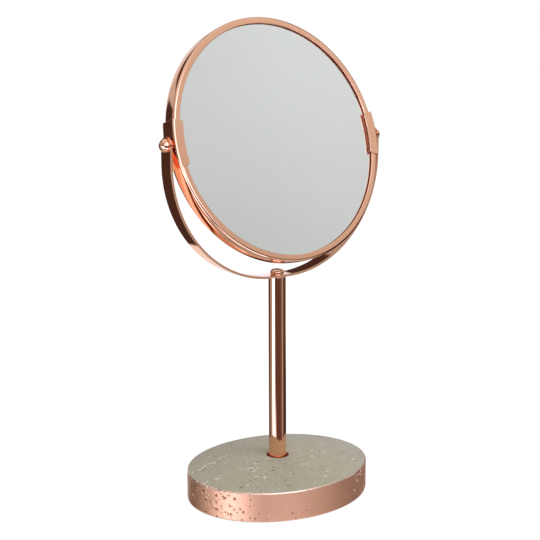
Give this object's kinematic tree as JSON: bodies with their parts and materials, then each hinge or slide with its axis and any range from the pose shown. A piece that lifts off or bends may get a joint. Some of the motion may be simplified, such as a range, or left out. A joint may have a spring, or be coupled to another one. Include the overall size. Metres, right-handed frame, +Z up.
{
  "type": "swivel table mirror",
  "caption": "Free-standing round mirror that turns in a U-shaped yoke on a tube stem, on a domed oval cast base with a metal-coated side.",
  "frame": {"origin": "on the table, under the middle of the oval base", "axes": "+Z up along the stem, -Y towards the person who looks into the flat glass, X along the line of the two pivots"},
  "size_m": [0.1958, 0.118, 0.3496],
  "materials": {
    "polished_copper": "copper-coloured plating on steel, polished",
    "cast_concrete": "smooth cast concrete, warm grey, with copper paint round its side",
    "mirror_glass": "silvered glass",
    "zinc_steel": "zinc-plated steel",
    "black_nylon": "plain black plastic",
    "grey_card": "grey card",
    "pad_foam": "black closed-cell foam sheet"
  },
  "bodies": {
    "stand": {"base_slab": "cast_concrete", "base_pad": "pad_foam", "clamp_washer": "zinc_steel", "clamp_spring_washer": "zinc_steel", "clamp_screw": "zinc_steel", "stem_collar": "black_nylon", "stem_tube": "polished_copper", "stem_foot_plug": "zinc_steel", "stem_head_plug": "zinc_steel", "yoke_strap": "polished_copper", "yoke_washer": "polished_copper", "yoke_screw": "polished_copper"},
    "mirror_head": {"frame_hoop": "polished_copper", "front_glass": "mirror_glass", "rear_glass": "mirror_glass", "backing_card": "grey_card", "glass_spacer": "black_nylon", "left_clip": "polished_copper", "right_clip": "polished_copper", "left_pivot_nut": "zinc_steel", "right_pivot_nut": "zinc_steel", "left_pivot_screw": "polished_copper", "right_pivot_screw": "polished_copper", "left_pivot_washer": "polished_copper", "right_pivot_washer": "polished_copper", "left_pivot_spacer": "polished_copper", "right_pivot_spacer": "polished_copper"}
  },
  "joints": [
    {"name": "mirror_tilt", "type": "hinge", "parent": "stand", "child": "mirror_head", "pos_m": [0, 0, 0.2626], "axis": [1, 0, 0], "continuous": true}
  ]
}
